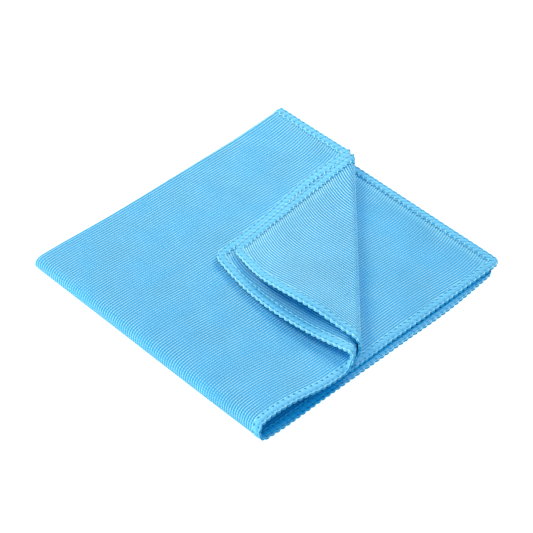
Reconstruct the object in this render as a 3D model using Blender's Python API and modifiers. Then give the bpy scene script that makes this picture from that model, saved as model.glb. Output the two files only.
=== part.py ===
"""A microfibre cloth: one square of ribbed knit with an overlocked hem, folded in quarters,
with the corner of its two upper layers turned back over the top.

The cloth is worked out flat and then folded. A point of the flat cloth has a coordinate
`a` across the ribs and `b` along them, both zero at the middle of the cloth:

    a > 0, b > 0   top layer (1)         a > 0, b < 0   bottom layer (4)
    a < 0, b > 0   second layer (2)      a < 0, b < 0   third layer (3)

The folded cloth is laid out in plan by `p`, the distance from the fold at a = 0, and `q`,
the distance from the rolled fold at b = 0. The fold at a = 0 joins layers 1 and 2, and
3 and 4. The roll at b = 0 joins layers 1 and 4 outside, and 2 and 3 inside them.
"""

from typing import NamedTuple

import bmesh
import bpy
import numpy as np

MM = 0.001  # every size below is in millimetres


class Row(NamedTuple):
    """One row of a table: at this place, the cloth has this value."""

    at: float
    value: float


# The cloth as it is cut.
WIDTH = 394.0  # across the ribs
LENGTH = 406.0  # along the ribs
KNIT_THICKNESS = 1.0
HEM_THICKNESS = 1.8
HEM_WIDTH = 5.6
HEM_EASE = 1.6  # the knit thickens into its hem over this width
CORNER_RADIUS = 6.0

# How the layers lie on each other.
LAYER_PITCH = 1.75  # from the middle of one layer of knit to the next
HEM_PITCH = 2.35  # the same where hems lie on hems
HEM_REACH = 24.0  # stacked hems lift the knit beside them over this distance
PLAN_WIDTH = 194.0  # the folded cloth's nominal outline
PLAN_LENGTH = 200.0

# Where the side hem (a = +-WIDTH / 2) lies in plan: at flat b, so far in p.
OUTER_SIDE_HEM = (
    Row(-203, 190.7),
    Row(-160, 193.9),
    Row(-120, 193.9),
    Row(-50, 193.8),
    Row(-14, 193.7),
    Row(-2, 192.8),
    Row(9, 190.6),
    Row(28, 190.2),
    Row(56, 193.5),
    Row(80, 193.5),
    Row(120, 198.4),
    Row(152, 198.3),
    Row(178, 195.2),
    Row(203, 189.7),
)
INNER_SIDE_HEM = (
    Row(-203, 189.5),
    Row(-110, 190.2),
    Row(-62, 189.8),
    Row(-40, 185.9),
    Row(-15, 182.6),
    Row(15, 182.1),
    Row(40, 184.4),
    Row(60, 188.2),
    Row(100, 190.0),
    Row(146, 192.5),
    Row(170, 191.9),
    Row(203, 183.5),
)
# Where the end hem (b = +-LENGTH / 2) lies in plan: at flat a, so far in q.
UPPER_END_HEM = (
    Row(-197, 193.9),
    Row(-147, 199.2),
    Row(-105, 202.4),
    Row(0, 202.4),
    Row(60, 203.4),
    Row(105, 205.4),
    Row(147, 200.2),
    Row(197, 195.4),
)
LOWER_END_HEM = (
    Row(-197, 200.5),
    Row(0, 199.1),
    Row(80, 197.4),
    Row(197, 193.1),
)

# The roll at b = 0: an outer sheet (layers 1 and 4) around an inner one (2 and 3).
OUTER_ROLL_REACH = 5.0  # how far the roll's half round reaches in q
OUTER_ROLL_START = -0.4
INNER_ROLL_REACH = 2.2
INNER_ROLL_START = 2.3
OUTER_ROLL_TOP = (Row(0, 8.0), Row(60, 8.8), Row(140, 8.8), Row(197, 11.3))  # height at p
INNER_ROLL_TOP = (Row(0, 5.6), Row(60, 5.9), Row(140, 6.0), Row(197, 6.8))
ROLL_END = 6.0  # past this q the raised top of the roll settles
ROLL_SETTLES = 36.0

# The turned corner. Its crease runs along w = (p - q) / sqrt(2), from the end hem at
# w = -98 to the side hem at w = 84.
CREASE_OUTLINE = (Row(-98, 267.5), Row(0, 269.8), Row(50, 270.5), Row(84, 271.1))  # p + q
CREASE_RADIUS = (  # of layer 1, the inner one
    Row(-100, 1.65),
    Row(-82, 1.45),
    Row(-60, 1.2),
    Row(0, 1.2),
    Row(40, 1.7),
    Row(60, 2.6),
    Row(76, 3.1),
    Row(86, 4.6),
)
CREASE_PITCH = (
    Row(-100, 2.35),
    Row(-82, 2.3),
    Row(-60, 1.9),
    Row(0, 1.8),
    Row(50, 2.2),
    Row(66, 2.35),
    Row(76, 3.1),
    Row(86, 5.3),
)
CREASE_SKIN = 0.75  # from the middle of the outer layer to its surface, near enough
FLAP_SETTLES = 14.0
FLAP_PITCH = 2.15  # from the layer under the flap to its first layer, and between its two
# How far each flap layer lifts off at its free side hem: at p, so high.
FIRST_LIFT = (Row(60, 0.8), Row(110, 1.0), Row(150, 2.7), Row(180, 3.5), Row(200, 3.7))
SECOND_LIFT = (
    Row(60, 0.2),
    Row(80, 0.4),
    Row(103, 3.1),
    Row(128, 5.2),
    Row(150, 5.7),
    Row(171, 4.0),
    Row(200, 0.8),
)
FIRST_LIFT_HEM, FIRST_LIFT_FADES = 72.0, 30.0
SECOND_LIFT_HEM, SECOND_LIFT_FADES = 80.0, 36.0

# The mesh of the flat cloth: lines across it, as distances from its middle.
FOLD_LINES = (0.0, 0.6, 1.2, 1.9, 2.9, 4.4)
ROLL_LINES = (0.0, 1.7, 3.4, 5.0, 6.5, 8.0, 11.0)
PLAIN_LINES = 10  # between the fold and the hem
HEM_LINES = (8.4, 6.0, 2.9, 0.0)  # from the edge of the cloth
# Lines along the crease, at (|a| + b) / sqrt(2), in layer 1 and in layer 2.
FIRST_CREASE_LINES = (*np.arange(184.4, 194.6, 0.7), 195.6, 197.0, 199.0)
SECOND_CREASE_LINES = (*np.arange(186.7, 199.0, 1.2), 200.4, 202.2, 204.2, 206.4, 208.8)
CUT_SNAP = 0.3  # a cut passes through points this near it
FLAT_UNDER = 0.12  # what lies lower than this is pressed flat on the table
ORIGIN_P = PLAN_WIDTH / 2
ORIGIN_Q = 98.5

COLOUR = (0.13, 0.50, 0.86, 1.0)
ROUGHNESS = 0.85
ROOT_2 = np.sqrt(2.0)
STEP = 0.4  # along the cloth, to read its direction


def through(rows, x):
    """A smooth curve through a table's rows, read at x."""
    at = np.array([row.at for row in rows], float)
    value = np.array([row.value for row in rows], float)
    slope = np.gradient(value, at)
    x = np.clip(x, at[0], at[-1])
    i = np.clip(np.searchsorted(at, x, side="right") - 1, 0, len(at) - 2)
    step = at[i + 1] - at[i]
    t = (x - at[i]) / step
    return (
        (1 + 2 * t) * (1 - t) ** 2 * value[i]
        + t * (1 - t) ** 2 * step * slope[i]
        + t * t * (3 - 2 * t) * value[i + 1]
        + t * t * (t - 1) * step * slope[i + 1]
    )


def ramp(x, start, end):
    """Rises smoothly from 0 at start to 1 at end."""
    t = np.clip((x - start) / (end - start), 0, 1)
    return t * t * (3 - 2 * t)


def fade(distance, reach):
    """Falls smoothly from 1 to 0 over a few times reach."""
    return np.exp(-((np.clip(distance, 0, None) / reach) ** 2))


def round_corners(a, b):
    """Draws the flat cloth's square corners in to a round."""
    u, v = np.abs(a), np.abs(b)
    start_u, start_v = WIDTH / 2 - CORNER_RADIUS, LENGTH / 2 - CORNER_RADIUS
    x = np.clip((u - start_u) / CORNER_RADIUS, 0, 1)
    y = np.clip((v - start_v) / CORNER_RADIUS, 0, 1)
    u = np.where(x > 0, start_u + CORNER_RADIUS * x * np.sqrt(1 - y * y / 2), u)
    v = np.where(y > 0, start_v + CORNER_RADIUS * y * np.sqrt(1 - x * x / 2), v)
    return np.sign(a) * u, np.sign(b) * v


def thickness(a, b):
    from_edge = np.minimum(WIDTH / 2 - np.abs(a), LENGTH / 2 - np.abs(b))
    in_hem = ramp(HEM_WIDTH + HEM_EASE - from_edge, 0, HEM_EASE)
    return KNIT_THICKNESS + (HEM_THICKNESS - KNIT_THICKNESS) * in_hem


def near_hem(p, q):
    """1 where hems are stacked, and 0 well inside them."""
    side = fade(PLAN_WIDTH - p, HEM_REACH)
    end = fade(PLAN_LENGTH - q, HEM_REACH)
    return 1 - (1 - side) * (1 - end)


def pitch(p, q):
    return LAYER_PITCH + (HEM_PITCH - LAYER_PITCH) * near_hem(p, q)


def layer_height(layer, p, q):
    """The middle of layer 2, 3 or 1 over the table, before the corner is turned back."""
    lowest = (KNIT_THICKNESS + (HEM_THICKNESS - KNIT_THICKNESS) * near_hem(p, q)) / 2
    stacked = lowest + (4 - layer) * pitch(p, q)
    if layer == 3:
        return stacked
    rolled = through(OUTER_ROLL_TOP if layer == 1 else INNER_ROLL_TOP, p)
    return stacked + (rolled - stacked) * fade(q - ROLL_END, ROLL_SETTLES)


def sheet(a, b, outer):
    """q and height of the outer or inner sheet, both layers of it and the roll that joins them."""
    hem = through(OUTER_SIDE_HEM if outer else INNER_SIDE_HEM, b)
    p = hem * np.abs(a) / (WIDTH / 2)
    reach = OUTER_ROLL_REACH if outer else INNER_ROLL_REACH
    start = OUTER_ROLL_START if outer else INNER_ROLL_START
    top = through(OUTER_ROLL_TOP if outer else INNER_ROLL_TOP, p)
    bottom = thickness(a, 0 * b) / 2 if outer else layer_height(3, p, ROLL_END)
    rise = (top - bottom) / 2
    half = np.pi / 2 * np.sqrt((reach**2 + rise**2) / 2)
    angle = np.pi / 2 * np.clip(b / half, -1, 1)
    q_roll = start + reach * (1 - np.cos(angle))
    z_roll = (top + bottom) / 2 + rise * np.sin(angle)

    end_hem = np.where(b > 0, through(UPPER_END_HEM, a), through(LOWER_END_HEM, a))
    run = (np.abs(b) - half) / (LENGTH / 2 - half)
    q_run = start + reach + run * (end_hem - start - reach)
    below = thickness(a, b) / 2 if outer else layer_height(3, p, q_run)
    above = layer_height(1 if outer else 2, p, q_run)
    z_run = np.where(b > 0, above, below)

    in_roll = np.abs(b) < half
    return np.where(in_roll, q_roll, q_run), np.where(in_roll, z_roll, z_run), hem


def folded_in_quarters(a, b):
    """p, q and height of a flat point, with the fold at a = 0 a half round between the sheets."""
    q_outer, z_outer, hem_outer = sheet(a, b, True)
    q_inner, z_inner, hem_inner = sheet(a, b, False)
    q_apart, z_apart = q_outer - q_inner, z_outer - z_inner
    q_along, z_along = run_of_sheets(a, b)
    radius = np.abs(q_apart * z_along - z_apart * q_along) / 2
    slant = np.hypot(q_apart, z_apart) / 2
    half = np.pi / 2 * np.sqrt((radius**2 + slant**2) / 2)
    angle = np.pi / 2 * np.clip(a / half, -1, 1)
    q = (q_outer + q_inner) / 2 + q_apart / 2 * np.sin(angle)
    z = (z_outer + z_inner) / 2 + z_apart / 2 * np.sin(angle)
    hem = np.where(a > 0, hem_outer, hem_inner)
    run = (np.abs(a) - half) / (WIDTH / 2 - half)
    p = np.where(run < 0, radius * (1 - np.cos(angle)), radius + run * (hem - radius))
    return p, q, z


def run_of_sheets(a, b):
    """The direction in q and height that the two sheets share as b grows, of length one."""
    q_run, z_run = 0.0, 0.0
    for outer in (True, False):
        q_before, z_before, _ = sheet(a, b - STEP, outer)
        q_after, z_after, _ = sheet(a, b + STEP, outer)
        q_run = q_run + q_after - q_before
        z_run = z_run + z_after - z_before
    length = np.hypot(q_run, z_run)
    return q_run / length, z_run / length


def flap_height(second, p, q):
    """The middle of the turned corner's first or second layer over the table."""
    first_lift = through(FIRST_LIFT, p) * fade(q - FIRST_LIFT_HEM, FIRST_LIFT_FADES)
    second_lift = through(SECOND_LIFT, p) * fade(q - SECOND_LIFT_HEM, SECOND_LIFT_FADES)
    first = layer_height(1, p, q) + FLAP_PITCH + first_lift
    return np.where(second, first + FLAP_PITCH + second_lift, first)


def crease_start(w):
    """Where the turn starts, as a distance (p + q) / sqrt(2)."""
    outer_radius = through(CREASE_RADIUS, w) + through(CREASE_PITCH, w)
    return through(CREASE_OUTLINE, w) / ROOT_2 - CREASE_SKIN - outer_radius


def corner_turned_back(a, b, p, q, z):
    """Turns what lies past the crease up and back over the top layer."""
    w, d = (p - q) / ROOT_2, (p + q) / ROOT_2
    second = a < 0
    radius = through(CREASE_RADIUS, w) + np.where(second, through(CREASE_PITCH, w), 0)
    start = crease_start(w)
    past = d - start
    length = np.pi * radius
    angle = np.pi * np.clip(past / length, 0, 1)
    after = np.clip(past - length, 0, None)
    d_turned = start + radius * np.sin(angle) - after
    p_turned, q_turned = (d_turned + w) / ROOT_2, (d_turned - w) / ROOT_2
    p_start, q_start = (start + w) / ROOT_2, (start - w) / ROOT_2

    z_start = np.where(second, layer_height(2, p_start, q_start), layer_height(1, p_start, q_start))
    z_arc = z_start + radius * (1 - np.cos(angle))
    step = z_start + 2 * radius - flap_height(second, p_start, q_start)
    z_flap = flap_height(second, p_turned, q_turned) + step * fade(after, FLAP_SETTLES)
    turned = (b > 0) & (past > 0)
    z_turned = np.where(after > 0, z_flap, z_arc)
    return (
        np.where(turned, p_turned, p),
        np.where(turned, q_turned, q),
        np.where(turned, z_turned, z),
    )


def folded(a, b):
    """The middle of the folded cloth, in millimetres about the middle of its underside."""
    a, b = round_corners(a, b)
    p, q, z = corner_turned_back(a, b, *folded_in_quarters(a, b))
    return np.stack([p - ORIGIN_P, q - ORIGIN_Q, z], axis=-1)


def lines_from_middle(near, half):
    """Lines over a whole side of the cloth: close at its fold and hems, even between."""
    hems = [half - distance for distance in HEM_LINES]
    plain = np.linspace(near[-1], hems[0], PLAIN_LINES + 2)[1:-1]
    positive = [*near[1:], *plain, *hems]
    return np.array([-x for x in reversed(positive)] + [near[0]] + positive)


def flat_cloth():
    """The flat cloth as a grid, with lines along the crease cut into its two upper quarters."""
    across = lines_from_middle(FOLD_LINES, WIDTH / 2)
    along = lines_from_middle(ROLL_LINES, LENGTH / 2)
    bm = bmesh.new()
    bmesh.ops.create_grid(
        bm, x_segments=len(across) - 1, y_segments=len(along) - 1, size=1.0
    )
    for vert in bm.verts:
        i = round((vert.co.x + 1) / 2 * (len(across) - 1))
        j = round((vert.co.y + 1) / 2 * (len(along) - 1))
        vert.co = (across[i], along[j], 0)
    for sign, distances in ((1, FIRST_CREASE_LINES), (-1, SECOND_CREASE_LINES)):
        for distance in distances:
            cut_along_crease(bm, sign, distance)
    bmesh.ops.triangulate(bm, faces=[face for face in bm.faces if len(face.verts) > 4])
    return bm


def cut_along_crease(bm, sign, distance):
    """Cuts the upper quarter on this side of a = 0 along (|a| + b) / sqrt(2) = distance."""
    quarter = [
        face
        for face in bm.faces
        if face.calc_center_median().x * sign > 0 and face.calc_center_median().y > 0
    ]
    edges = {edge for face in quarter for edge in face.edges}
    verts = {vert for face in quarter for vert in face.verts}
    bmesh.ops.bisect_plane(
        bm,
        geom=[*quarter, *edges, *verts],
        dist=CUT_SNAP,
        plane_co=(0, distance * ROOT_2, 0),
        plane_no=(sign, 1, 0),
    )


def make_material():
    material = bpy.data.materials.new("blue knit")
    material.use_nodes = True
    shader = material.node_tree.nodes["Principled BSDF"]
    shader.inputs["Base Color"].default_value = COLOUR
    shader.inputs["Roughness"].default_value = ROUGHNESS
    shader.inputs["Metallic"].default_value = 0.0
    return material


def make_sheet(collection):
    """The folded cloth as an open surface, thickened to both sides by Solidify."""
    bm = flat_cloth()
    flat = np.array([vert.co[:] for vert in bm.verts])
    places = folded(flat[:, 0], flat[:, 1]) * MM
    for vert, place in zip(bm.verts, places):
        vert.co = place
    mesh = bpy.data.meshes.new("cloth sheet")
    bm.to_mesh(mesh)
    bm.free()
    obj = bpy.data.objects.new("cloth sheet", mesh)
    collection.objects.link(obj)
    group = obj.vertex_groups.new(name="thickness")
    shares = thickness(*round_corners(flat[:, 0], flat[:, 1])) / HEM_THICKNESS
    for index, share in enumerate(shares):
        group.add([index], float(share), "REPLACE")
    solidify = obj.modifiers.new("thickness", "SOLIDIFY")
    solidify.thickness = HEM_THICKNESS * MM
    solidify.offset = 0.0
    solidify.vertex_group = group.name
    return obj


def make_cloth(collection):
    """The cloth as one solid, its underside pressed flat on the table."""
    sheet_object = make_sheet(collection)
    graph = bpy.context.evaluated_depsgraph_get()
    mesh = bpy.data.meshes.new_from_object(sheet_object.evaluated_get(graph))
    bpy.data.objects.remove(sheet_object)
    bm = bmesh.new()
    bm.from_mesh(mesh)
    for vert in bm.verts:
        if vert.co.z < FLAT_UNDER * MM:
            vert.co.z = 0.0
    bmesh.ops.triangulate(bm, faces=bm.faces)
    bmesh.ops.recalc_face_normals(bm, faces=bm.faces)
    bm.to_mesh(mesh)
    bm.free()
    mesh.name = "cloth"
    mesh.materials.clear()
    mesh.materials.append(make_material())
    mesh.shade_smooth()
    cloth = bpy.data.objects.new("cloth", mesh)
    collection.objects.link(cloth)
    return cloth


def main():
    for obj in list(bpy.data.objects):
        bpy.data.objects.remove(obj)
    collection = bpy.data.collections.new("microfibre cloth")
    bpy.context.scene.collection.children.link(collection)
    make_cloth(collection)


main()
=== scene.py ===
"""The looks of a microfibre cloth: ribbed blue knit with an overlocked hem, folded in quarters,
with the corner of its two upper layers turned back over the top.

The cloth is worked out flat and then folded, by the same measures as its CAD solid. A point of
the flat cloth has a coordinate `a` across the ribs and `b` along them, in millimetres from the
middle of the cloth. `a > 0, b > 0` is the top layer, `a < 0, b > 0` the second, `a < 0, b < 0`
the third and `a > 0, b < 0` the bottom one. In plan, `p` is the distance from the fold at a = 0,
and `q` the distance from the roll at b = 0. `z` is the height of the cloth's middle.
"""

import logging
from dataclasses import dataclass
from enum import Enum
from typing import ClassVar, NamedTuple

import bmesh
import bpy
import numpy as np
from mathutils import Matrix, Vector


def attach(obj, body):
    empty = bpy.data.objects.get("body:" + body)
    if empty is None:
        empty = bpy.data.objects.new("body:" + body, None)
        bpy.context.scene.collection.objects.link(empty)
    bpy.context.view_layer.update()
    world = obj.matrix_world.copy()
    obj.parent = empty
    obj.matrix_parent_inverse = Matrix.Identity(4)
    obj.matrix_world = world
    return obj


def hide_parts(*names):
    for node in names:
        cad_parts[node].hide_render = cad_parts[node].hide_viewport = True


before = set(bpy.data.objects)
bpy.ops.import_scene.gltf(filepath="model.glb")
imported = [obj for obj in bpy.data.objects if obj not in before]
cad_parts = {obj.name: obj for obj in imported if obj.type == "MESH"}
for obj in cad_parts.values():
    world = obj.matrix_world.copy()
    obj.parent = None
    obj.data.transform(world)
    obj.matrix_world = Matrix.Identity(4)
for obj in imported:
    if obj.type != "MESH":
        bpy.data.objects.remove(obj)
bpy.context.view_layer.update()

MM = 0.001  # sizes are in millimetres, and Blender's in metres
ROOT_2 = float(np.sqrt(2.0))
LAYERS = 4
RIB_PITCH = 1.8
STITCH_PITCH = 4.06  # along the hem
TABLE_GAP = 0.02  # between the cloth and the table
MERGE_DISTANCE = 1e-7  # in metres
FLAT_MAP = "flat"  # the UV map that holds flat places
LOG = logging.getLogger("cloth")

Array = np.ndarray
Socket = bpy.types.NodeSocket
Feed = Socket | float | tuple[float, ...]  # what a socket can be given
Point = tuple[float, float, float]
Rgb = tuple[float, float, float]
WHITE: Rgb = (1.0, 1.0, 1.0)
COLOR, FLOAT, VECTOR = "NodeSocketColor", "NodeSocketFloat", "NodeSocketVector"


class Row(NamedTuple):
    """One row of a table: at this place, the cloth has this value."""

    at: float
    value: float


class Span(NamedTuple):
    """Where a value starts to rise from 0, and where it reaches 1."""

    start: float
    end: float


Table = tuple[Row, ...]


def table(*pairs: tuple[float, float]) -> Table:
    """The rows of a table, from pairs of a place and a value."""
    return tuple(Row(*pair) for pair in pairs)


def through(rows: Table, x: Array) -> Array:
    """A smooth curve through a table's rows.

    Args:
        rows: the table, in order of place.
        x: where to read it. Past the table's ends it keeps its end values.

    Returns:
        The values at x.
    """
    at = np.array([row.at for row in rows], float)
    value = np.array([row.value for row in rows], float)
    slope = np.gradient(value, at)
    x = np.clip(x, at[0], at[-1])
    i = np.clip(np.searchsorted(at, x, side="right") - 1, 0, len(at) - 2)
    step = at[i + 1] - at[i]
    t = (x - at[i]) / step
    return (
        (1 + 2 * t) * (1 - t) ** 2 * value[i]
        + t * (1 - t) ** 2 * step * slope[i]
        + t * t * (3 - 2 * t) * value[i + 1]
        + t * t * (t - 1) * step * slope[i + 1]
    )


def ramp(x: Array, start: float, end: float) -> Array:
    """Rises smoothly from 0 at start to 1 at end."""
    t = np.clip((x - start) / (end - start), 0, 1)
    return t * t * (3 - 2 * t)


def fade(distance: Array, reach: float) -> Array:
    """Falls smoothly from 1 to 0 over a few times reach."""
    return np.exp(-((np.clip(distance, 0, None) / reach) ** 2))


def wave(x: Array, pitch: float) -> Array:
    """1 at every whole pitch, and 0 half way between."""
    return 0.5 + 0.5 * np.cos(2 * np.pi * x / pitch)


@dataclass
class Folding:
    """How the flat cloth is folded: the map from the flat cloth to its place on the table."""

    width: float = 394.0
    length: float = 406.0
    knit_thickness: float = 1.0
    hem_thickness: float = 1.8
    hem_width: float = 5.6
    hem_ease: float = 1.6
    corner_radius: float = 6.0
    layer_pitch: float = 1.75
    hem_pitch: float = 2.35
    hem_reach: float = 24.0
    plan_width: float = 194.0
    plan_length: float = 200.0
    origin_p: float = 97.0
    origin_q: float = 98.5
    step: float = 0.4  # along the cloth, to read its direction
    # Where the side hems lie: at flat b, so far in p.
    outer_side_hem: Table = table(
        (-203, 190.7), (-160, 193.9), (-120, 193.9), (-50, 193.8), (-14, 193.7), (-2, 192.8),
        (9, 190.6), (28, 190.2), (56, 193.5), (80, 193.5), (120, 198.4), (152, 198.3),
        (178, 195.2), (203, 189.7),
    )
    inner_side_hem: Table = table(
        (-203, 189.5), (-110, 190.2), (-62, 189.8), (-40, 185.9), (-15, 182.6), (15, 182.1),
        (40, 184.4), (60, 188.2), (100, 190.0), (146, 192.5), (170, 191.9), (203, 183.5),
    )
    # Where the end hems lie: at flat a, so far in q.
    upper_end_hem: Table = table(
        (-197, 193.9), (-147, 199.2), (-105, 202.4), (0, 202.4), (60, 203.4), (105, 205.4),
        (147, 200.2), (197, 195.4),
    )
    lower_end_hem: Table = table((-197, 200.5), (0, 199.1), (80, 197.4), (197, 193.1))
    # The roll at b = 0, and how high its outer and inner sheets stand at p.
    outer_roll_reach: float = 5.0
    outer_roll_start: float = -0.4
    inner_roll_reach: float = 2.2
    inner_roll_start: float = 2.3
    outer_roll_top: Table = table((0, 8.0), (60, 8.8), (140, 8.8), (197, 11.3))
    inner_roll_top: Table = table((0, 5.6), (60, 5.9), (140, 6.0), (197, 6.8))
    roll_end: float = 6.0
    roll_settles: float = 36.0
    # The turned corner, along w = (p - q) / sqrt(2).
    crease_outline: Table = table((-98, 267.5), (0, 269.8), (50, 270.5), (84, 271.1))
    crease_radius: Table = table(
        (-100, 1.65), (-82, 1.45), (-60, 1.2), (0, 1.2), (40, 1.7), (60, 2.6), (76, 3.1), (86, 4.6)
    )
    crease_pitch: Table = table(
        (-100, 2.35), (-82, 2.3), (-60, 1.9), (0, 1.8), (50, 2.2), (66, 2.35), (76, 3.1), (86, 5.3)
    )
    crease_skin: float = 0.75
    flap_settles: float = 14.0
    flap_pitch: float = 2.15
    first_lift: Table = table((60, 0.8), (110, 1.0), (150, 2.7), (180, 3.5), (200, 3.7))
    second_lift: Table = table(
        (60, 0.2), (80, 0.4), (103, 3.1), (128, 5.2), (150, 5.7), (171, 4.0), (200, 0.8)
    )
    first_lift_hem: float = 72.0
    first_lift_fades: float = 30.0
    second_lift_hem: float = 80.0
    second_lift_fades: float = 36.0

    def rounded(self, a: Array, b: Array) -> tuple[Array, Array]:
        """Draws the flat cloth's square corners in to a round.

        Args:
            a, b: flat places on a square cloth.

        Returns:
            The same places, a and b, on the cloth with round corners.
        """
        radius = self.corner_radius
        u, v = np.abs(a), np.abs(b)
        start_u, start_v = self.width / 2 - radius, self.length / 2 - radius
        x = np.clip((u - start_u) / radius, 0, 1)
        y = np.clip((v - start_v) / radius, 0, 1)
        u = np.where(x > 0, start_u + radius * x * np.sqrt(1 - y * y / 2), u)
        v = np.where(y > 0, start_v + radius * y * np.sqrt(1 - x * x / 2), v)
        return np.sign(a) * u, np.sign(b) * v

    def thickness_from(self, in_hem: Array) -> Array:
        """The thickness of knit where in_hem is 0, and of hem where it is 1."""
        return self.knit_thickness + (self.hem_thickness - self.knit_thickness) * in_hem

    def thickness(self, a: Array, b: Array) -> Array:
        """The cloth's thickness at flat places, which grows from the knit to the hem."""
        edge = np.minimum(self.width / 2 - np.abs(a), self.length / 2 - np.abs(b))
        return self.thickness_from(ramp(self.hem_width + self.hem_ease - edge, 0, self.hem_ease))

    def near_hem(self, p: Array, q: Array) -> Array:
        """1 where hems are stacked in plan, and 0 well inside them."""
        side, end = fade(self.plan_width - p, self.hem_reach), fade(self.plan_length - q, self.hem_reach)
        return 1 - (1 - side) * (1 - end)

    def layer_height(self, layer: int, p: Array, q: Array) -> Array:
        """The middle of a layer over the table, before the corner is turned back.

        Args:
            layer: 1, the top one, to 3.
            p, q: places in plan.

        Returns:
            The height there.
        """
        hems = self.near_hem(p, q)
        pitch = self.layer_pitch + (self.hem_pitch - self.layer_pitch) * hems
        stacked = self.thickness_from(hems) / 2 + (LAYERS - layer) * pitch
        if layer == 3:
            return stacked
        rolled = through(self.outer_roll_top if layer == 1 else self.inner_roll_top, p)
        return stacked + (rolled - stacked) * fade(q - self.roll_end, self.roll_settles)

    def sheet(self, a: Array, b: Array, outer: bool) -> tuple[Array, Array, Array]:
        """The outer or inner sheet: both its layers and the roll that joins them.

        Args:
            a, b: flat places.
            outer: whether it is layers 1 and 4, or else 2 and 3.

        Returns:
            q, the height, and where the sheet's side hem is in p.
        """
        hem = through(self.outer_side_hem if outer else self.inner_side_hem, b)
        p = hem * np.abs(a) / (self.width / 2)
        reach = self.outer_roll_reach if outer else self.inner_roll_reach
        start = self.outer_roll_start if outer else self.inner_roll_start
        top = through(self.outer_roll_top if outer else self.inner_roll_top, p)
        if outer:
            bottom = self.thickness(a, 0 * b) / 2
        else:
            bottom = self.layer_height(3, p, self.roll_end)
        rise = (top - bottom) / 2
        half = np.pi / 2 * np.sqrt((reach**2 + rise**2) / 2)
        angle = np.pi / 2 * np.clip(b / half, -1, 1)
        q_roll = start + reach * (1 - np.cos(angle))
        z_roll = (top + bottom) / 2 + rise * np.sin(angle)

        upper, lower = through(self.upper_end_hem, a), through(self.lower_end_hem, a)
        run = (np.abs(b) - half) / (self.length / 2 - half)
        q_run = start + reach + run * (np.where(b > 0, upper, lower) - start - reach)
        below = self.thickness(a, b) / 2 if outer else self.layer_height(3, p, q_run)
        above = self.layer_height(1 if outer else 2, p, q_run)
        in_roll = np.abs(b) < half
        z_run = np.where(b > 0, above, below)
        return np.where(in_roll, q_roll, q_run), np.where(in_roll, z_roll, z_run), hem

    def run_of_sheets(self, a: Array, b: Array) -> tuple[Array, Array]:
        """The direction that the two sheets share as b grows.

        Args:
            a, b: flat places.

        Returns:
            Its share in q and its share in height, which make a length of one.
        """
        q_run, z_run = 0.0, 0.0
        for outer in (True, False):
            q_before, z_before, _ = self.sheet(a, b - self.step, outer)
            q_after, z_after, _ = self.sheet(a, b + self.step, outer)
            q_run = q_run + q_after - q_before
            z_run = z_run + z_after - z_before
        length = np.hypot(q_run, z_run)
        return q_run / length, z_run / length

    def in_quarters(self, a: Array, b: Array) -> tuple[Array, Array, Array]:
        """Folds the cloth, with the fold at a = 0 a half round between the sheets.

        Args:
            a, b: flat places.

        Returns:
            p, q and the height.
        """
        q_outer, z_outer, hem_outer = self.sheet(a, b, True)
        q_inner, z_inner, hem_inner = self.sheet(a, b, False)
        q_apart, z_apart = q_outer - q_inner, z_outer - z_inner
        q_along, z_along = self.run_of_sheets(a, b)
        radius = np.abs(q_apart * z_along - z_apart * q_along) / 2
        slant = np.hypot(q_apart, z_apart) / 2
        half = np.pi / 2 * np.sqrt((radius**2 + slant**2) / 2)
        angle = np.pi / 2 * np.clip(a / half, -1, 1)
        q = (q_outer + q_inner) / 2 + q_apart / 2 * np.sin(angle)
        z = (z_outer + z_inner) / 2 + z_apart / 2 * np.sin(angle)
        hem = np.where(a > 0, hem_outer, hem_inner)
        run = (np.abs(a) - half) / (self.width / 2 - half)
        p = np.where(run < 0, radius * (1 - np.cos(angle)), radius + run * (hem - radius))
        return p, q, z

    def flap_height(self, second: Array, p: Array, q: Array) -> Array:
        """The middle of the turned corner over the table.

        Args:
            second: whether it is the corner of layer 2, which ends up on top, or else of layer 1.
            p, q: places in plan.

        Returns:
            The height there.
        """
        first_fade = fade(q - self.first_lift_hem, self.first_lift_fades)
        second_fade = fade(q - self.second_lift_hem, self.second_lift_fades)
        first = self.layer_height(1, p, q) + self.flap_pitch + through(self.first_lift, p) * first_fade
        above = self.flap_pitch + through(self.second_lift, p) * second_fade
        return np.where(second, first + above, first)

    def corner_turned_back(
        self, a: Array, b: Array, p: Array, q: Array, z: Array
    ) -> tuple[Array, Array, Array]:
        """Turns what lies past the crease up and back over the top layer.

        Args:
            a, b: flat places.
            p, q, z: where they lie in the cloth folded in quarters.

        Returns:
            p, q and the height with the corner turned back.
        """
        w, d = (p - q) / ROOT_2, (p + q) / ROOT_2
        second = a < 0
        inner, gap = through(self.crease_radius, w), through(self.crease_pitch, w)
        radius = inner + np.where(second, gap, 0)
        start = through(self.crease_outline, w) / ROOT_2 - self.crease_skin - inner - gap
        past = d - start
        length = np.pi * radius
        angle = np.pi * np.clip(past / length, 0, 1)
        after = np.clip(past - length, 0, None)
        d_turned = start + radius * np.sin(angle) - after
        p_turned, q_turned = (d_turned + w) / ROOT_2, (d_turned - w) / ROOT_2
        p_start, q_start = (start + w) / ROOT_2, (start - w) / ROOT_2

        z_start = np.where(
            second,
            self.layer_height(2, p_start, q_start),
            self.layer_height(1, p_start, q_start),
        )
        z_arc = z_start + radius * (1 - np.cos(angle))
        step = z_start + 2 * radius - self.flap_height(second, p_start, q_start)
        settled = step * fade(after, self.flap_settles)
        z_flap = self.flap_height(second, p_turned, q_turned) + settled
        turned = (b > 0) & (past > 0)
        z_turned = np.where(after > 0, z_flap, z_arc)
        return (
            np.where(turned, p_turned, p),
            np.where(turned, q_turned, q),
            np.where(turned, z_turned, z),
        )

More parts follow.
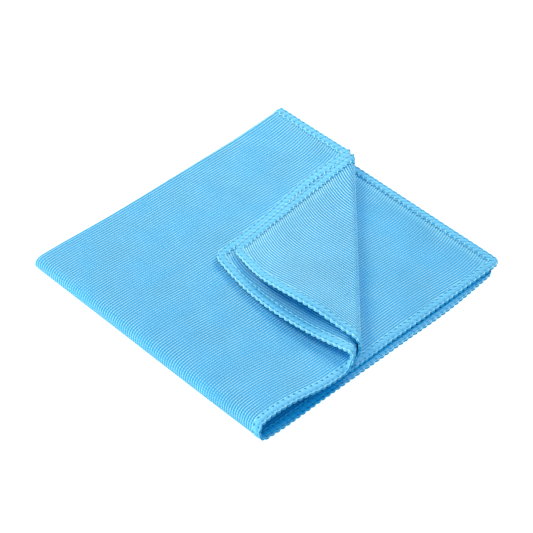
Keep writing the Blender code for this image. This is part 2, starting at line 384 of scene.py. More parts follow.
    def surface(self, a: Array, b: Array) -> Array:
        """The middle of the folded cloth, whose corners are already rounded."""
        p, q, z = self.corner_turned_back(a, b, *self.in_quarters(a, b))
        return np.stack([p - self.origin_p, q - self.origin_q, z], axis=-1)

    def place(self, a: Array, b: Array) -> Array:
        """The middle of the folded cloth at flat places."""
        return self.surface(*self.rounded(a, b))

    def normal(self, a: Array, b: Array) -> Array:
        """The direction that the cloth's front faces.

        Args:
            a, b: flat places.

        Returns:
            The directions, of length one.
        """
        a, b = self.rounded(a, b)
        reach_a, reach_b, step = self.width / 2, self.length / 2, self.step / 2
        a_before, a_after = np.clip(a - step, -reach_a, reach_a), np.clip(a + step, -reach_a, reach_a)
        b_before, b_after = np.clip(b - step, -reach_b, reach_b), np.clip(b + step, -reach_b, reach_b)
        across = self.surface(a_after, b) - self.surface(a_before, b)
        along = self.surface(a, b_after) - self.surface(a, b_before)
        normal = np.cross(across, along)
        return normal / np.linalg.norm(normal, axis=-1, keepdims=True)


class Side(Enum):
    """One of the cloth's four hems, as the sign of its place across and along the ribs."""

    OUTER_SIDE = (1, 0)
    INNER_SIDE = (-1, 0)
    UPPER_END = (0, 1)
    LOWER_END = (0, -1)

    @property
    def runs_along_ribs(self) -> bool:
        """Whether it is a side hem, which runs along the ribs, or else an end hem."""
        return self.value[0] != 0


class Face(Enum):
    """A face of the cloth."""

    FRONT = 1
    BACK = -1


class ThreadLine(NamedTuple):
    """Where thread runs, inward from the edge and out from the cloth's middle, and its swings."""

    inward: float
    inward_swing: float
    out: float
    out_swing: float


class ThreadRow(Enum):
    """A row of thread along the hem: its line on a side hem, and on an end hem."""

    NEEDLE = (ThreadLine(5.8, 0.0, 0.62, 0.28), ThreadLine(5.5, 0.55, 0.9, -0.14))
    LOOPER = (ThreadLine(0.62, -0.44, 0.5, 0.1), ThreadLine(0.38, -0.2, 0.5, 0.1))

    def line(self, side: Side) -> ThreadLine:
        """The row's line on one hem."""
        return self.value[0 if side.runs_along_ribs else 1]


class Graph:
    """Adds nodes to a material, a world or a shader group."""

    def __init__(self, tree: bpy.types.NodeTree) -> None:
        """Starts with the tree's own nodes kept."""
        self.tree = tree

    def add(self, kind: str, **settings: object) -> bpy.types.Node:
        """Adds a node.

        Args:
            kind: its type.
            settings: its properties, by name.

        Returns:
            The node.
        """
        node = self.tree.nodes.new(kind)
        for name, value in settings.items():
            setattr(node, name, value)
        return node

    def feed(self, socket: Socket, value: Feed) -> None:
        """Links a socket to another, or gives it a plain value.

        Args:
            socket: the socket to feed.
            value: the other socket, or the value.
        """
        if isinstance(value, Socket):
            self.tree.links.new(value, socket)
        else:
            socket.default_value = value

    def math(self, operation: str, *values: Feed, clamp: bool = False) -> Socket:
        """A Math node.

        Args:
            operation: its operation.
            values: its inputs.
            clamp: whether the result stays between 0 and 1.

        Returns:
            Its output.
        """
        node = self.add("ShaderNodeMath", operation=operation, use_clamp=clamp)
        for socket, value in zip(node.inputs, values):
            self.feed(socket, value)
        return node.outputs[0]

    def mix(self, share: Feed, first: Feed, second: Feed, kind: str = "FLOAT") -> Socket:
        """A mix of two values.

        Args:
            share: 0 for all the first, and 1 for all the second.
            first: one value.
            second: the other.
            kind: FLOAT, or RGBA for colours.

        Returns:
            The mix.
        """
        node = self.add("ShaderNodeMix", data_type=kind)
        for name, value in (("Factor", share), ("A", first), ("B", second)):
            self.feed(node.inputs[name], value)
        return node.outputs["Result"]

    def dye(self, share: Feed, first: Rgb, second: Rgb) -> Socket:
        """The first colour where share is 0, and the second where it is 1."""
        return self.mix(share, (*first, 1.0), (*second, 1.0), "RGBA")

    def noise(self, vector: Feed, scale: float, detail: float = 2.0) -> Socket:
        """A Noise Texture node.

        Args:
            vector: where it is read.
            scale: its scale, about one over the size of its patches in metres.
            detail: its finer octaves.

        Returns:
            Its value, around 0.5.
        """
        node = self.add("ShaderNodeTexNoise")
        for name, value in (("Vector", vector), ("Scale", scale), ("Detail", detail)):
            self.feed(node.inputs[name], value)
        return node.outputs["Fac"]

    def wave(self, x: Feed, pitch: float) -> Socket:
        """1 at every whole pitch, which is in millimetres, and 0 half way between."""
        cosine = self.math("COSINE", self.math("MULTIPLY", x, 2 * np.pi / (pitch * MM)))
        return self.math("MULTIPLY_ADD", cosine, 0.5, 0.5)

    def rise(self, x: Feed, span: Span, unit: float = 1.0) -> Socket:
        """A smooth rise from 0 to 1.

        Args:
            x: the value to read.
            span: from where to where it rises.
            unit: the span's unit.

        Returns:
            The rise at x.
        """
        node = self.add("ShaderNodeMapRange", interpolation_type="SMOOTHSTEP")
        ends = (("From Min", span.start * unit), ("From Max", span.end * unit))
        for name, value in (("Value", x), *ends):
            self.feed(node.inputs[name], value)
        return node.outputs["Result"]

    def x_and_y(self, vector: Socket) -> tuple[Socket, Socket]:
        """A vector's X and Y."""
        node = self.add("ShaderNodeSeparateXYZ")
        self.feed(node.inputs[0], vector)
        return node.outputs["X"], node.outputs["Y"]


class SharedEffect:
    """An effect that several materials place: a shader group with one output, built once."""

    name: ClassVar[str]
    inputs: ClassVar[dict[str, str]]
    output: ClassVar[tuple[str, str]]

    def result(self, graph: Graph, given: bpy.types.NodeOutputs) -> Socket:
        """Adds the effect's own nodes.

        Args:
            graph: the group's graph.
            given: the group's inputs.

        Returns:
            What the group puts out.
        """
        raise NotImplementedError

    def group(self) -> bpy.types.NodeTree:
        """Builds the shader group, or finds it.

        Returns:
            The group.
        """
        if self.name in bpy.data.node_groups:
            return bpy.data.node_groups[self.name]
        group = bpy.data.node_groups.new(self.name, "ShaderNodeTree")
        for name, kind in self.inputs.items():
            group.interface.new_socket(name, in_out="INPUT", socket_type=kind)
        name, kind = self.output
        group.interface.new_socket(name, in_out="OUTPUT", socket_type=kind)
        graph = Graph(group)
        given = graph.add("NodeGroupInput").outputs
        graph.feed(graph.add("NodeGroupOutput").inputs[0], self.result(graph, given))
        return group

    def place(self, graph: Graph, **values: Feed) -> Socket:
        """Places the effect in a material.

        Args:
            graph: the material's graph.
            values: what feeds its inputs, by name.

        Returns:
            The effect's output.
        """
        node = graph.add("ShaderNodeGroup", node_tree=self.group())
        for name, value in values.items():
            graph.feed(node.inputs[name], value)
        return node.outputs[0]


@dataclass(frozen=True)
class DyeMottle(SharedEffect):
    """The slight patchiness of dyed thread, which every material of the cloth shares."""

    name: ClassVar[str] = "dye mottle"
    inputs: ClassVar[dict[str, str]] = {"Vector": VECTOR, "Dye": COLOR, "Spread": FLOAT}
    output: ClassVar[tuple[str, str]] = ("Dye", COLOR)
    patch_scale: float = 38.0
    fleck_scale: float = 900.0

    def result(self, graph: Graph, given: bpy.types.NodeOutputs) -> Socket:
        """The dye, a little lighter and darker in patches and flecks.

        Args:
            graph: the group's graph.
            given: the group's inputs.

        Returns:
            The mottled dye.
        """
        patches = graph.noise(given["Vector"], self.patch_scale, detail=3.0)
        flecks = graph.noise(given["Vector"], self.fleck_scale, detail=1.0)
        around_none = graph.math("SUBTRACT", graph.math("ADD", patches, flecks), 1.0)
        change = graph.math("MULTIPLY", around_none, given["Spread"])
        scaled = graph.add("ShaderNodeVectorMath", operation="SCALE")
        graph.feed(scaled.inputs[0], given["Dye"])
        graph.feed(scaled.inputs["Scale"], graph.math("ADD", change, 1.0))
        return scaled.outputs[0]


@dataclass(frozen=True)
class ThreadStrands(SharedEffect):
    """Fine parallel strands of thread, as a height."""

    name: ClassVar[str] = "thread strands"
    inputs: ClassVar[dict[str, str]] = {"Across": FLOAT, "Vector": VECTOR, "Turns": FLOAT}
    output: ClassVar[tuple[str, str]] = ("Height", FLOAT)
    waver_scale: float = 700.0
    waver: float = 5.0  # how far the strands wander, in radians of their wave

    def result(self, graph: Graph, given: bpy.types.NodeOutputs) -> Socket:
        """The strands, with so many radians of their wave to a metre across them.

        Args:
            graph: the group's graph.
            given: the group's inputs.

        Returns:
            The height, from 0 to 1.
        """
        waver = graph.math("MULTIPLY", graph.noise(given["Vector"], self.waver_scale), self.waver)
        turned = graph.math("MULTIPLY_ADD", given["Across"], given["Turns"], waver)
        return graph.math("MULTIPLY_ADD", graph.math("SINE", turned), 0.5, 0.5)


@dataclass(frozen=True)
class ClothFinish:
    """What the finishes of the knit, the hem and the thread share. Depths are in millimetres."""

    name: str
    roughness: float
    specular: float
    dye_spread: float
    bump_strength: float
    bump_depth: float
    sheen: float = 0.0
    sheen_roughness: float = 0.5
    sheen_tint: Rgb = WHITE

    def pattern(self, graph: Graph, flat: Socket) -> tuple[Socket, Socket]:
        """The finish's own pattern.

        Args:
            graph: the material's graph.
            flat: flat places, in metres.

        Returns:
            The colour, before it is mottled, and the height.
        """
        raise NotImplementedError

    def material(self) -> bpy.types.Material:
        """The finish as a material, which reads the piece's UV map of flat places.

        Returns:
            The material.
        """
        material = bpy.data.materials.new(self.name)
        material.use_nodes = True
        graph = Graph(material.node_tree)
        flat = graph.add("ShaderNodeUVMap", uv_map=FLAT_MAP).outputs["UV"]
        dye, height = self.pattern(graph, flat)
        bump = graph.add("ShaderNodeBump")
        graph.feed(bump.inputs["Height"], height)
        graph.feed(bump.inputs["Strength"], self.bump_strength)
        graph.feed(bump.inputs["Distance"], self.bump_depth * MM)
        shader = material.node_tree.nodes["Principled BSDF"]
        for name, value in (
            ("Base Color", DyeMottle().place(graph, Vector=flat, Dye=dye, Spread=self.dye_spread)),
            ("Normal", bump.outputs["Normal"]),
            ("Roughness", self.roughness),
            ("Specular IOR Level", self.specular),
            ("Sheen Weight", self.sheen),
            ("Sheen Roughness", self.sheen_roughness),
            ("Sheen Tint", (*self.sheen_tint, 1.0)),
        ):
            graph.feed(shader.inputs[name], value)
        return material


@dataclass(frozen=True)
class KnitFinish(ClothFinish):
    """Ribbed microfibre knit: beaded ribs of fine loops, with painted shade in the grooves between them.
    """

    name: str = "blue rib knit"
    roughness: float = 0.9
    specular: float = 0.2
    dye_spread: float = 0.3
    bump_strength: float = 0.8
    bump_depth: float = 0.22
    sheen: float = 0.35
    sheen_tint: Rgb = (0.36, 0.85, 1.0)
    # The ribs' lit colour, and painted shade in the grooves.
    ridge: Rgb = (0.39, 0.81, 0.92)
    groove_shade: Rgb = (0.0, 0.37, 0.78)
    loop_pitch: float = 1.35
    loop_relief: float = 0.5  # how deep the loops part a rib, as a share of its height
    loop_waver: float = 2.0  # how far the rows of loops wander along the ribs
    waver_scale: float = 260.0
    fuzz: float = 0.5  # as a share of a rib's height
    fuzz_scale: float = 1500.0
    # On the turned corner the painted shade in the grooves is bolder, and no patch evens it.
    corner_along: Span = Span(20, 60)
    corner_across: Span = Span(-20, -60)
    crisp: Span = Span(0.1, 0.7)
    # In some patches the ribs are even, with the loops as dots on them, and the painted shade in the
    # grooves is weaker.
    evened_scale: float = 36.0
    evened: Span = Span(0.42, 0.62)
    evened_share: float = 0.75
    dot_height: float = 0.75
    dot_base: float = 0.1

    def pattern(self, graph: Graph, flat: Socket) -> tuple[Socket, Socket]:
        """Ribs of loops, with painted shade in their hollows, bolder on the turned corner and evened in
        patches elsewhere.

        Args:
            graph: the material's graph.
            flat: flat places, in metres.

        Returns:
            The colour, before it is mottled, and the height.
        """
        across, along = graph.x_and_y(flat)
        rib = graph.wave(across, RIB_PITCH)
        waver = graph.noise(flat, self.waver_scale)
        wandering = graph.math("MULTIPLY_ADD", waver, self.loop_waver * MM, along)
        loops = graph.wave(wandering, self.loop_pitch)
        loop_share = graph.math("MULTIPLY_ADD", loops, self.loop_relief, 1 - self.loop_relief)
        fuzz = graph.noise(flat, self.fuzz_scale, detail=3.0)
        fuzz_height = graph.math("MULTIPLY_ADD", fuzz, self.fuzz, -self.fuzz / 2)
        raised = graph.math("ADD", graph.math("MULTIPLY", rib, loop_share), fuzz_height, clamp=True)

        corner = graph.math(
            "MULTIPLY",
            graph.rise(along, self.corner_along, MM),
            graph.rise(across, self.corner_across, MM),
        )
        # Bolder painted shade in the grooves of the turned corner.
        raised = graph.mix(corner, raised, graph.rise(raised, self.crisp))
        dots = graph.math(
            "MULTIPLY_ADD", graph.math("MULTIPLY", rib, loops), self.dot_height, self.dot_base
        )
        # Patches where the painted shade in the grooves is evened out.
        evened = graph.rise(graph.noise(flat, self.evened_scale), self.evened)
        share = graph.math("MULTIPLY_ADD", corner, -self.evened_share, self.evened_share)
        raised = graph.mix(graph.math("MULTIPLY", evened, share), raised, dots)
        # The colour goes from the ridge's to the groove's with the height: painted shade in the hollows.
        return graph.dye(raised, self.groove_shade, self.ridge), raised


@dataclass(frozen=True)
class HemFinish(ClothFinish):
    """Overlock thread: satin strands across the hem, with painted shade in the needle holes along both
    sides.
    """

    name: str = "overlock hem"
    roughness: float = 0.62
    specular: float = 0.3
    dye_spread: float = 0.2
    bump_strength: float = 0.7
    bump_depth: float = 0.12
    sheen: float = 0.12
    sheen_roughness: float = 0.45
    sheen_tint: Rgb = (0.4, 0.86, 1.0)
    # The thread's colour, and the painted shade it darkens to.
    thread: Rgb = (0.16, 0.68, 0.98)
    shade: Rgb = (0.002, 0.24, 0.66)
    strand_turns: float = 12000.0  # radians of the strands' wave to a metre
    # The rows of needle holes, in from the edge, and where a hole sinks and takes painted shade, from its
    # rim in.
    edge_holes: float = 1.4
    inner_holes: float = 4.85
    hole: Span = Span(0.75, 0.2)
    # Where the edge row, the puffed band and the inner row set in, inward from the edge.
    edge_row: Span = Span(1.9, 1.2)
    band: Span = Span(1.2, 2.2)
    inner_row: Span = Span(4.6, 5.2)
    valley_sharpness: float = 4.0
    # How much painted shade each of them gets, from 0 to 1.
    hole_shade: float = 0.78
    strand_shade: float = 0.18
    valley_shade: float = 0.15
    inner_row_shade: float = 0.1
    edge_row_shade: float = 0.2

    def holes(self, graph: Graph, along: Socket, across: Socket, row: float) -> Socket:
        """One row of needle holes, one hole to a stitch.

        Args:
            graph: the material's graph.
            along: places along the hem.
            across: places inward from the edge.
            row: how far in the row is.

        Returns:
            1 in the holes, and 0 between them.
        """
        stitches = graph.math("MULTIPLY_ADD", along, 1 / (STITCH_PITCH * MM), 0.5)
        from_hole = graph.math("SUBTRACT", graph.math("FRACT", stitches), 0.5)
        x = graph.math("MULTIPLY", from_hole, STITCH_PITCH)
        y = graph.math("MULTIPLY_ADD", across, 1 / MM, -row)
        squares = graph.math("ADD", graph.math("POWER", x, 2.0), graph.math("POWER", y, 2.0))
        return graph.rise(graph.math("SQRT", squares), self.hole)

    def pattern(self, graph: Graph, flat: Socket) -> tuple[Socket, Socket]:
        """Strands, with painted shade in the needle holes, between the strands and the puffs, and under
        both rows of thread.

        Args:
            graph: the material's graph.
            flat: places along the hem and inward from its edge, in metres.

        Returns:
            The colour, before it is mottled, and the height.
        """
        along, across = graph.x_and_y(flat)
        strands = ThreadStrands().place(graph, Across=along, Vector=flat, Turns=self.strand_turns)
        holes = graph.math(
            "MAXIMUM",
            self.holes(graph, along, across, self.edge_holes),
            self.holes(graph, along, across, self.inner_holes),
        )
        valley = graph.math("POWER", graph.wave(along, STITCH_PITCH), self.valley_sharpness)
        valley_in_band = graph.math("MULTIPLY", valley, graph.rise(across, self.band, MM))
        strand_dark = graph.math("MULTIPLY_ADD", strands, -self.strand_shade, self.strand_shade)
        dark = graph.math("MAXIMUM", graph.math("MULTIPLY", holes, self.hole_shade), strand_dark)
        for mask, share in (
            (valley_in_band, self.valley_shade),
            (graph.rise(across, self.inner_row, MM), self.inner_row_shade),
            (graph.rise(across, self.edge_row, MM), self.edge_row_shade),
        ):
            dark = graph.math("ADD", dark, graph.math("MULTIPLY", mask, share), clamp=True)
        return graph.dye(dark, self.thread, self.shade), graph.math("SUBTRACT", strands, holes)


@dataclass(frozen=True)
class HemThreadFinish(ClothFinish):
    """The pale thread that loops along both sides of the hem, with twisted strands."""

    name: str = "hem thread"
    roughness: float = 0.55
    specular: float = 0.35
    dye_spread: float = 0.2
    bump_strength: float = 0.5
    bump_depth: float = 0.05
    # The thread's colour, and the painted shade between its strands.
    thread: Rgb = (0.42, 0.9, 1.0)
    shade: Rgb = (0.08, 0.64, 0.93)
    strand_turns: float = 9000.0  # radians of the strands' wave to a metre
    strand_shade: float = 0.5

    def pattern(self, graph: Graph, flat: Socket) -> tuple[Socket, Socket]:
        """Strands that run round the thread on a slant, with painted shade between them.

        Args:
            graph: the material's graph.
            flat: places along the thread and round it, in metres.

        Returns:
            The colour, before it is mottled, and the height.
        """
        slanted = graph.math("ADD", *graph.x_and_y(flat))
        strands = ThreadStrands().place(graph, Across=slanted, Vector=flat, Turns=self.strand_turns)
        dark = graph.math("MULTIPLY", strands, self.strand_shade)
        return graph.dye(dark, self.thread, self.shade), strands


def new_object(name: str, data: bpy.types.ID) -> bpy.types.Object:
    """Makes an object of mesh, light or camera data, and links it to the scene.

    Args:
        name: its name.
        data: its data.

    Returns:
        The object.
    """
    made = bpy.data.objects.new(name, data)
    bpy.context.scene.collection.objects.link(made)
    return made


def finished(name: str, bm: bmesh.types.BMesh, material: bpy.types.Material) -> bpy.types.Object:
    """Makes a smooth piece of a bmesh, and frees the bmesh.

    Args:
        name: the piece's name.
        bm: its shape, in metres.
        material: its material.

    Returns:
        The piece.
    """
    mesh = bpy.data.meshes.new(name)
    bm.to_mesh(mesh)
    bm.free()
    mesh.materials.append(material)
    mesh.shade_smooth()
    return new_object(name, mesh)


def write_flat(bm: bmesh.types.BMesh, flat: Array) -> None:
    """Writes the UV map of flat places.

    Args:
        bm: the bmesh that it goes on.
        flat: each vertex's flat place, in millimetres.
    """
    layer = bm.loops.layers.uv.new(FLAT_MAP)
    for face in bm.faces:
        for loop in face.loops:
            u, v = flat[loop.vert.index]
            loop[layer].uv = (u * MM, v * MM)


def grid(across: int, along: int) -> bmesh.types.BMesh:
    """A grid whose places count its own lines.

    Args:
        across: how many faces it has across.
        along: how many it has along.

    Returns:
        The grid.
    """
    bm = bmesh.new()
    bmesh.ops.create_grid(bm, x_segments=across, y_segments=along, size=1.0)
    for vert in bm.verts:
        vert.co.x = round((vert.co.x + 1) / 2 * across)
        vert.co.y = round((vert.co.y + 1) / 2 * along)
    return bm


def wrap(bm: bmesh.types.BMesh, places: Array, flat: Array) -> None:
    """Moves a band's vertices to their places, and makes a closed tube of it.

    Args:
        bm: the band, whose first and last lines get the same places.
        places: each vertex's place, in millimetres. What is under the table is pressed flat on it.
        flat: each vertex's flat place, in millimetres.
    """
    write_flat(bm, flat)
    places[:, 2] = np.maximum(places[:, 2], TABLE_GAP)
    for vert, place in zip(bm.verts, places * MM):
        vert.co = place
    bmesh.ops.remove_doubles(bm, verts=bm.verts, dist=MERGE_DISTANCE)
    bmesh.ops.holes_fill(bm, edges=bm.edges, sides=0)
    bmesh.ops.recalc_face_normals(bm, faces=bm.faces)


@dataclass
class Knit:
    """The knit inside the hem: one ribbed sheet, thick at its ribs and thin between them."""

    folding: Folding
    finish: KnitFinish
    lines_in_rib: int = 3
    rib_thickness: float = 1.34
    groove_thickness: float = 0.56
    side_reach: float = 193.9
    end_reach: float = 199.9
    # How far the ribs are drawn in towards the fold, at so far from an end hem's edge.
    rib_drift: Table = table(
        (0, 0.8), (6, -1.4), (10, -2.7), (14, -3.6), (20, -4.2), (28, -3.9), (40, -2.6),
        (55, -1.0), (75, 0.0),
    )
    drift_reach: float = 30.0
    spare: float = 6.0  # wider than the knit, for the drift to draw in
    roll_lines: tuple[float, ...] = (0.0, 1.5, 3.0, 4.5, 6.0, 7.5, 9.5, 13.0)
    row_pitch: float = 8.4
    # Lines cut along the crease in layers 1 and 2: first and last from the middle, and apart.
    first_crease: tuple[float, float, float] = (184.4, 196.0, 0.7)
    second_crease: tuple[float, float, float] = (186.7, 208.9, 1.2)
    cut_snap: float = 0.08

    def rows(self) -> Array:
        """The lines across the ribs: close at the roll, and even elsewhere.

        Returns:
            Their places along the ribs.
        """
        start = self.roll_lines[-1]
        count = round((self.end_reach - start) / self.row_pitch)
        plain = np.linspace(start, self.end_reach, count + 1)[1:]
        half = [*self.roll_lines, *plain]
        return np.array([-x for x in reversed(half[1:])] + half)

    def drift(self, c: Array, b: Array) -> Array:
        """How far the rib at c is drawn towards the fold near an end hem."""
        from_end = self.folding.length / 2 - np.abs(b)
        return through(self.rib_drift, from_end) * np.tanh(c / self.drift_reach)

    def flat_sheet(self) -> bmesh.types.BMesh:
        """The flat knit, cut to its outline and along the crease.

        Returns:
            The sheet, whose vertices hold a, b and the place c of their own rib.
        """
        pitch = RIB_PITCH / self.lines_in_rib
        columns = 2 * round((self.side_reach + self.spare) / pitch)
        rows = self.rows()
        bm = grid(columns, len(rows) - 1)
        index = np.array([vert.co[:] for vert in bm.verts])
        c = (index[:, 0] - columns / 2) * pitch
        b = rows[index[:, 1].astype(int)]
        a = c - self.drift(c, b)
        for vert, *place in zip(bm.verts, a, b, c):
            vert.co = place
        for sign in (1, -1):
            self.cut(bm, list(bm.faces), (sign * self.side_reach, 0, 0), (sign, 0, 0), True)
        for sign, lines in ((1, self.first_crease), (-1, self.second_crease)):
            for distance in np.arange(*lines):
                middles = [(face, face.calc_center_median()) for face in bm.faces]
                quarter = [face for face, middle in middles if middle.x * sign > 0 and middle.y > 0]
                self.cut(bm, quarter, (0, distance * ROOT_2, 0), (sign, 1, 0), False)
        bmesh.ops.triangulate(bm, faces=[face for face in bm.faces if len(face.verts) > 4])
        bm.verts.index_update()
        return bm

    def cut(
        self, bm: bmesh.types.BMesh, faces: list[bmesh.types.BMFace], at: Point, facing: Point, trim: bool
    ) -> None:
        """Cuts faces along an upright plane.

        Args:
            bm: the bmesh that they are in.
            faces: the faces to cut.
            at: a point of the plane.
            facing: the direction that it faces.
            trim: whether what is past the plane is dropped.
        """
        # Each once, and in the same order each run.
        edges = dict.fromkeys(edge for face in faces for edge in face.edges)
        verts = dict.fromkeys(vert for face in faces for vert in face.verts)
        bmesh.ops.bisect_plane(
            bm,
            geom=[*faces, *edges, *verts],
            dist=self.cut_snap,
            plane_co=at,
            plane_no=facing,
            clear_outer=trim,
        )

    def build(self) -> bpy.types.Object:
        """The knit as a closed piece.

        Returns:
            The piece, with its ribs' flat places in its UV map.
        """
        bm = self.flat_sheet()
        a, b, c = np.array([vert.co[:] for vert in bm.verts]).T
        write_flat(bm, np.stack([c, b], axis=-1))
        thin = self.groove_thickness / self.rib_thickness
        weights = thin + (1 - thin) * wave(c, RIB_PITCH)
        deform = bm.verts.layers.deform.verify()
        for vert, place, weight in zip(bm.verts, self.folding.place(a, b) * MM, weights):
            vert.co = place
            vert[deform][0] = float(weight)
        sheet = finished("cloth_knit_sheet", bm, self.finish.material())
        sheet.vertex_groups.new(name="ribs")
        solidify = sheet.modifiers.new("thickness", "SOLIDIFY")
        solidify.thickness = self.rib_thickness * MM
        solidify.offset = 0.0
        solidify.vertex_group = "ribs"
        graph = bpy.context.evaluated_depsgraph_get()
        mesh = bpy.data.meshes.new_from_object(sheet.evaluated_get(graph))
        bpy.data.objects.remove(sheet)
        for vert in mesh.vertices:
            vert.co.z = max(vert.co.z, TABLE_GAP * MM)
        mesh.name = "cloth_knit"
        return new_object("cloth_knit", mesh)


@dataclass
class Edge:
    """One edge of the cloth, along which places are counted in stitches."""

    folding: Folding
    side: Side

    @property
    def half(self) -> float:
        """Half the edge's length."""
        return (self.folding.length if self.side.runs_along_ribs else self.folding.width) / 2

    @property
    def stitches(self) -> int:
        """How many stitches the edge has."""
        return round(2 * self.half / STITCH_PITCH)

    def along(self, stitch: Array) -> Array:
        """How far from the middle of the edge these stitches are."""
        return (stitch / self.stitches * 2 - 1) * self.half

    def band(self, around: int, lines_in_stitch: int) -> tuple[bmesh.types.BMesh, Array, Array]:
        """A grid to wrap round the edge.

        Args:
            around: how many faces go round.
            lines_in_stitch: how many lines cross each stitch.

        Returns:
            The grid, and each vertex's line round the edge and its stitch along it.
        """
        bm = grid(around, self.stitches * lines_in_stitch)
        index = np.array([vert.co[:] for vert in bm.verts])
        return bm, index[:, 0].astype(int), index[:, 1] / lines_in_stitch

    def places(self, stitch: Array, inward: Array, out: Array) -> Array:
        """Places on the folded cloth.

        Args:
            stitch: how far along the edge, in stitches.
            inward: how far inward from the edge.
            out: how far out from the middle of the cloth, towards its front.

        Returns:
            The places, in millimetres.
        """
        half_width, half_length = self.folding.width / 2, self.folding.length / 2
        across_sign, along_sign = self.side.value
        along = self.along(stitch)
        if self.side.runs_along_ribs:
            a = across_sign * (half_width - inward)
            b = along * (half_length - inward) / half_length
        else:
            a = along * (half_width - inward) / half_width
            b = along_sign * (half_length - inward)
        return self.folding.place(a, b) + self.folding.normal(a, b) * out[:, None]


@dataclass
class Hem:
    """One side of the overlocked hem: a puffed band wrapped round the cloth's edge."""

    folding: Folding
    finish: HemFinish
    side: Side
    lines_in_stitch: int = 12
    # Half the hem's thickness, at so far in from the edge.
    profile: Table = table(
        (0.0, 0.0), (0.1, 0.38), (0.35, 0.6), (0.75, 0.68), (1.1, 0.6), (1.45, 0.6),
        (1.9, 0.8), (2.6, 0.95), (3.4, 1.0), (4.2, 0.94), (4.8, 0.86), (5.3, 0.76), (5.8, 0.62),
        (6.2, 0.4), (6.4, 0.15),
    )
    # How far a side hem and an end hem dip between two puffs, as a share of their thickness, and
    # where the puffs start, inward from the edge. The needle holes' depth is such a share too.
    side_puff: float = 0.14
    end_puff: float = 0.3
    puff: Span = Span(1.2, 2.2)
    puff_sharpness: int = 4
    hole_depth: float = 0.12
    hole_reach: float = 0.4
    hole_sharpness: int = 5
    # How far the edge of a side hem and an end hem is drawn in half way along each stitch.
    side_scallop: float = 0.5
    end_scallop: float = 0.15
    scallop_reach: float = 2.4

    def build(self) -> bpy.types.Object:
        """The hem's band.

        Returns:
            The piece, closed, with places along and across it in its UV map.
        """
        ring = [*reversed(self.profile), *(Row(row.at, -row.value) for row in self.profile[1:])]
        ring.append(ring[0])
        edge = Edge(self.folding, self.side)
        bm, line, stitch = edge.band(len(ring) - 1, self.lines_in_stitch)
        inward, height = np.array(ring)[line].T
        meet = wave(stitch, 1.0)  # 1 where two stitches meet, and 0 half way
        on_side = self.side.runs_along_ribs
        puff = self.side_puff if on_side else self.end_puff
        scallop = self.side_scallop if on_side else self.end_scallop
        puffed = 1 - puff * meet**self.puff_sharpness * ramp(inward, *self.puff)
        rows = (self.finish.edge_holes, self.finish.inner_holes)
        holes = sum(fade(np.abs(inward - row), self.hole_reach) for row in rows)
        height = height * (puffed - self.hole_depth * holes * meet**self.hole_sharpness)
        pulled = scallop * (1 - meet) * ramp(self.scallop_reach - inward, 0, self.scallop_reach)
        flat = np.stack([stitch * STITCH_PITCH, inward], axis=-1)
        wrap(bm, edge.places(stitch, inward + pulled, height), flat)
        return finished(f"hem_{self.side.name.lower()}", bm, self.finish.material())


@dataclass
class HemThread:
    """A thread on one face of the cloth, in small loops along all four hems."""

    folding: Folding
    finish: HemThreadFinish
    face: Face
    row: ThreadRow
    lines_in_stitch: int = 10
    sides: int = 6
    radius: float = 0.29

    def path(self, side: Side, stitch: Array) -> tuple[Array, Array]:
        """The middle of the thread.

        Args:
            side: the hem that it runs on.
            stitch: how far along it is, in stitches.

        Returns:
            How far it is inward from the edge, and out from the cloth's middle.
        """
        if self.row is ThreadRow.LOOPER:
            swing = 2 * np.abs(np.cos(np.pi * stitch)) - 1  # round loops that meet in points
        else:
            swing = 2 * wave(stitch, 1.0) - 1
        line = self.row.line(side)
        return line.inward + line.inward_swing * swing, line.out + line.out_swing * swing

    def run(self, side: Side) -> bmesh.types.BMesh:
        """The thread along one hem.

        Args:
            side: the hem.

        Returns:
            The run, closed at both ends.
        """
        edge = Edge(self.folding, side)
        bm, line, stitch = edge.band(self.sides, self.lines_in_stitch)
        turn = 2 * np.pi * line / self.sides
        inward, out = self.path(side, stitch)
        inward = inward + self.radius * np.cos(turn)
        out = self.face.value * (out + self.radius * np.sin(turn))
        flat = np.stack([edge.along(stitch), turn * self.radius], axis=-1)
        wrap(bm, edge.places(stitch, inward, out), flat)
        return bm

    def build(self) -> bpy.types.Object:
        """The thread's four runs.

        Returns:
            The runs as one piece.
        """
        whole = bmesh.new()
        for side in Side:
            bm = self.run(side)
            mesh = bpy.data.meshes.new("run")
            bm.to_mesh(mesh)
            bm.free()
            whole.from_mesh(mesh)
            bpy.data.meshes.remove(mesh)
        name = f"{self.row.name}_thread_{self.face.name}".lower()
        return finished(name, whole, self.finish.material())


@dataclass
class MicrofibreCloth:
    """The whole cloth: its knit, its four hems and the hem's threads on both faces."""

    folding: Folding

    def build(self) -> list[bpy.types.Object]:
        """Builds the cloth's pieces, attaches them to the root body and logs each one's triangles.

        Returns:
            The pieces, the knit first.
        """
        knit = Knit(self.folding, KnitFinish()).build()
        hems = [Hem(self.folding, HemFinish(), side).build() for side in Side]
        threads = [
            HemThread(self.folding, HemThreadFinish(), face, row).build()
            for row in ThreadRow
            for face in Face
        ]
        pieces = [knit, *hems, *threads]
        for piece in pieces:
            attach(piece, "root")
            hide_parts("cloth")
            piece.data.calc_loop_triangles()
            LOG.info("%s: %d triangles", piece.name, len(piece.data.loop_triangles))
        return pieces


@dataclass(frozen=True)
class Lamp:
    """One square soft lamp, turned towards the cloth. Its size and place are in metres."""

    name: str
    place: Point
    size: float
    power: float
    colour: Rgb

    def build(self) -> None:
        """Makes the lamp."""
        light = bpy.data.lights.new(self.name, "AREA")
        light.size = self.size
        light.color = self.colour
        light.energy = self.power
        place = Vector(self.place)
        facing = place.to_track_quat("Z", "Y").to_matrix().to_4x4()
        new_object(self.name, light).matrix_world = Matrix.Translation(place) @ facing


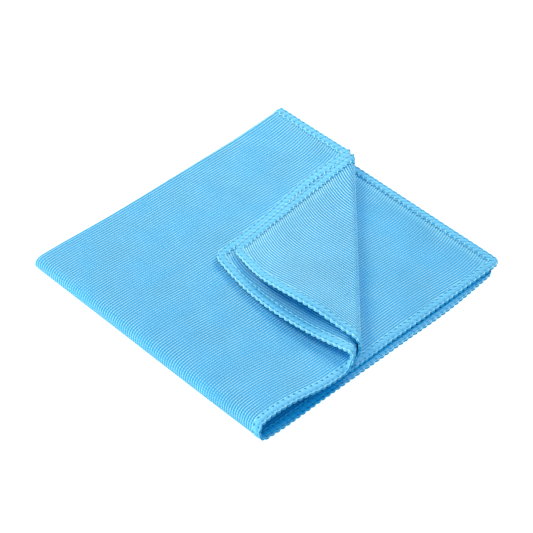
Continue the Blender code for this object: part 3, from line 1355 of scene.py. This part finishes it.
@dataclass
class Studio:
    """A plain floor, a soft surround, three lamps and the camera. Its sizes are in metres."""

    floor_size: float = 3.0
    floor_colour: Rgb = (0.6, 0.66, 0.68)
    floor_roughness: float = 0.9
    # The camera sees the floor and the surround lit up to plain white.
    white_glow: float = 0.95
    # A cool surround and warm lamps, so that shade on the cloth is blue.
    world_colour: Rgb = (0.06, 0.62, 1.0)
    world_strength: float = 0.74
    lamps: tuple[Lamp, ...] = (
        Lamp("left key", (-1.6, -0.1, 1.1), 0.8, 36.0, (1.0, 0.54, 0.3)),
        Lamp("back key", (-0.4, 1.55, 1.1), 0.8, 42.0, (1.0, 0.54, 0.3)),
        Lamp("fill", (-0.6, -1.7, 0.14), 0.26, 32.0, (1.0, 0.77, 0.55)),
    )
    camera_place: Point = (0.6995828, -0.6752919, 0.9211108)
    camera_turn: float = 46.115  # degrees round the cloth
    camera_height: float = 43.347  # degrees over the table
    lens: float = 152.986
    sensor: float = 36.0
    clip_end: float = 20.0

    def build(self) -> None:
        """Makes the floor, the lights and the camera."""
        self.build_floor()
        self.build_light()
        self.build_camera()

    def build_floor(self) -> None:
        """Makes a plain floor under the cloth."""
        bm = bmesh.new()
        bmesh.ops.create_grid(bm, x_segments=1, y_segments=1, size=self.floor_size / 2)
        material = bpy.data.materials.new("pale floor")
        material.use_nodes = True
        graph = Graph(material.node_tree)
        seen = graph.add("ShaderNodeLightPath").outputs["Is Camera Ray"]
        shader = material.node_tree.nodes["Principled BSDF"]
        for name, value in (
            ("Base Color", (*self.floor_colour, 1.0)),
            ("Roughness", self.floor_roughness),
            ("Specular IOR Level", 0.0),
            ("Emission Color", (*WHITE, 1.0)),
            ("Emission Strength", graph.math("MULTIPLY", seen, self.white_glow)),
        ):
            graph.feed(shader.inputs[name], value)
        finished("floor", bm, material)

    def build_light(self) -> None:
        """Makes the surround and the lamps: two above and past the cloth, and a low one."""
        world = bpy.data.worlds.new("studio")
        world.use_nodes = True
        graph = Graph(world.node_tree)
        seen = graph.add("ShaderNodeLightPath").outputs["Is Camera Ray"]
        background = world.node_tree.nodes["Background"]
        graph.feed(background.inputs["Color"], graph.dye(seen, self.world_colour, WHITE))
        strength = graph.mix(seen, self.world_strength, self.white_glow)
        graph.feed(background.inputs["Strength"], strength)
        bpy.context.scene.world = world
        for lamp in self.lamps:
            lamp.build()
        bpy.context.scene.view_settings.view_transform = "Standard"

    def build_camera(self) -> None:
        """Makes the camera, at the photograph's angle."""
        turn, height = np.radians(self.camera_turn), np.radians(self.camera_height)
        ahead = Vector(
            (-np.sin(turn) * np.cos(height), np.cos(turn) * np.cos(height), -np.sin(height))
        )
        right = Vector((np.cos(turn), np.sin(turn), 0.0))
        axes = Matrix((right, right.cross(ahead), -ahead)).transposed()
        data = bpy.data.cameras.new("camera")
        data.sensor_width = self.sensor
        data.lens = self.lens
        data.clip_end = self.clip_end
        camera = new_object("camera", data)
        camera.matrix_world = Matrix.Translation(Vector(self.camera_place)) @ axes.to_4x4()
        bpy.context.scene.camera = camera


def main() -> None:
    logging.basicConfig(level=logging.INFO, format="%(name)s: %(message)s")
    Studio().build()
    MicrofibreCloth(Folding()).build()


if __name__ == "__main__":
    main()
